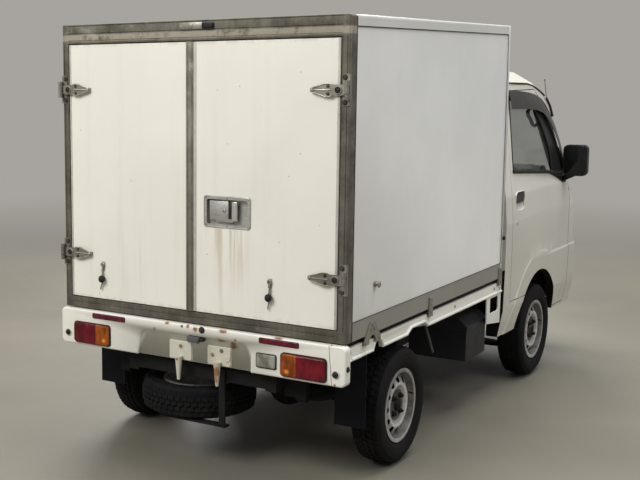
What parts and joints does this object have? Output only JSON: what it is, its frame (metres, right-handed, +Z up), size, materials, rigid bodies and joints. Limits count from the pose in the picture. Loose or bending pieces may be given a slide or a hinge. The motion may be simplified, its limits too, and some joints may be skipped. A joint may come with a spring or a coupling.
{
  "type": "kei truck with van box",
  "caption": "Small cab-over truck with a panelled van box on its load bed, twin swinging rear doors, hinged cab doors, steered front wheels and a spare wheel under the tail.",
  "frame": {"origin": "on the ground under the middle of the whole truck's box", "axes": "+X forward, +Y to the left, +Z up"},
  "size_m": [3.3949, 1.728, 1.9799],
  "materials": {
    "black_plastic": "grained black plastic",
    "bracket_steel": "weathered grey paint on pressed steel",
    "box_door_white": "warm white coated panel, slightly dulled",
    "floor_board": "worn plywood load floor",
    "box_aluminium": "weathered bare aluminium section",
    "box_side_white": "cool white glossy panel",
    "hinge_steel": "plated steel, dulled",
    "cab_paint": "white body paint",
    "inner_paint": "grey primed sheet",
    "window_glass": "faintly green tinted glass",
    "dash_plastic": "dark grey moulded plastic",
    "latch_zinc": "plated steel with rust runs",
    "chassis_black": "black chassis paint with road dust",
    "engine_iron": "raw cast iron and alloy",
    "exhaust_steel": "heat-stained steel",
    "bumper_plastic": "white painted bumper",
    "tank_steel": "black painted tank",
    "lamp_glass": "clear headlamp lens",
    "bed_paint": "white body paint, rusty at the edges",
    "flap_rubber": "blue-black rubber sheet",
    "hook_steel": "painted steel, rusting",
    "lamp_plastic": "red and amber lamp lenses",
    "seat_cloth": "grey woven seat cloth",
    "rim_silver": "silver painted steel wheel",
    "tyre_rubber": "black tyre rubber"
  },
  "bodies": {
    "chassis": {"battery_box": "black_plastic", "box_brackets": "bracket_steel", "box_floor": "floor_board", "box_frame": "box_aluminium", "box_front": "box_side_white", "box_hinges": "hinge_steel", "box_roof": "box_side_white", "box_side_left": "box_side_white", "box_side_right": "box_side_white", "cab_body": "cab_paint", "cab_floor": "inner_paint", "cab_glass": "window_glass", "cab_roof": "cab_paint", "dashboard": "dash_plastic", "drive_shaft": "chassis_black", "engine": "engine_iron", "exhaust": "exhaust_steel", "frame_rails": "chassis_black", "front_bumper": "bumper_plastic", "front_suspension": "chassis_black", "fuel_tank": "tank_steel", "headlamps": "lamp_glass", "lamp_panel": "bed_paint", "leaf_springs": "chassis_black", "load_bed": "bed_paint", "mudflaps": "flap_rubber", "rear_axle": "chassis_black", "rear_hooks": "hook_steel", "rear_lamps": "lamp_plastic", "seats": "seat_cloth", "spare_carrier": "chassis_black", "spare_rim": "rim_silver", "spare_tyre": "tyre_rubber"},
    "cab_door_left": {"cab_door_left": "cab_paint", "door_glass_left": "window_glass", "mirror_left": "black_plastic"},
    "cab_door_right": {"cab_door_right": "cab_paint", "door_glass_right": "window_glass", "mirror_right": "black_plastic"},
    "box_door_left": {"box_door_left": "box_door_white"},
    "box_door_right": {"box_door_right": "box_door_white", "door_latch": "latch_zinc"},
    "knuckle_left": {"knuckle_left": "engine_iron"},
    "knuckle_right": {"knuckle_right": "engine_iron"},
    "steering_wheel": {"steering_wheel": "dash_plastic"},
    "wheel_front_left": {"tyre_front_left": "tyre_rubber", "rim_front_left": "rim_silver"},
    "wheel_front_right": {"tyre_front_right": "tyre_rubber", "rim_front_right": "rim_silver"},
    "wheel_rear_left": {"tyre_rear_left": "tyre_rubber", "rim_rear_left": "rim_silver"},
    "wheel_rear_right": {"tyre_rear_right": "tyre_rubber", "rim_rear_right": "rim_silver"}
  },
  "joints": [
    {"name": "steer_left", "type": "hinge", "parent": "chassis", "child": "knuckle_left", "pos_m": [0.8475, 0.59, 0.178], "axis": [0, -0.1881, 0.9822], "range_deg": [-35, 35]},
    {"name": "front_wheel_left", "type": "hinge", "parent": "knuckle_left", "child": "wheel_front_left", "pos_m": [0.8475, 0.6525, 0.268], "axis": [0, 1, 0], "continuous": true},
    {"name": "rear_wheel_left", "type": "hinge", "parent": "chassis", "child": "wheel_rear_left", "pos_m": [-1.0525, 0.65, 0.268], "axis": [0, 1, 0], "continuous": true},
    {"name": "cab_door_hinge_left", "type": "hinge", "parent": "chassis", "child": "cab_door_left", "pos_m": [1.4125, 0.7195, 0.775], "axis": [0, 0, -1], "range_deg": [0, 65]},
    {"name": "box_door_hinge_left", "type": "hinge", "parent": "chassis", "child": "box_door_left", "pos_m": [-1.6815, 0.722, 1.307], "axis": [0, 0, -1], "range_deg": [0, 260]},
    {"name": "steer_right", "type": "hinge", "parent": "chassis", "child": "knuckle_right", "pos_m": [0.8475, -0.59, 0.178], "axis": [0, 0.1881, 0.9822], "range_deg": [-35, 35]},
    {"name": "front_wheel_right", "type": "hinge", "parent": "knuckle_right", "child": "wheel_front_right", "pos_m": [0.8475, -0.6525, 0.268], "axis": [0, 1, 0], "continuous": true},
    {"name": "rear_wheel_right", "type": "hinge", "parent": "chassis", "child": "wheel_rear_right", "pos_m": [-1.0525, -0.65, 0.268], "axis": [0, 1, 0], "continuous": true},
    {"name": "cab_door_hinge_right", "type": "hinge", "parent": "chassis", "child": "cab_door_right", "pos_m": [1.4125, -0.7195, 0.775], "axis": [0, 0, 1], "range_deg": [0, 65]},
    {"name": "box_door_hinge_right", "type": "hinge", "parent": "chassis", "child": "box_door_right", "pos_m": [-1.6815, -0.722, 1.307], "axis": [0, 0, 1], "range_deg": [0, 260]},
    {"name": "steering_wheel_turn", "type": "hinge", "parent": "chassis", "child": "steering_wheel", "pos_m": [1.1275, -0.35, 1.06], "axis": [-0.6428, 0, 0.766], "range_deg": [-600, 600]}
  ],
  "couplings": [
    {"joint": "steer_right", "follows": "steer_left", "ratio": 1},
    {"joint": "steering_wheel_turn", "follows": "steer_left", "ratio": 16}
  ]
}
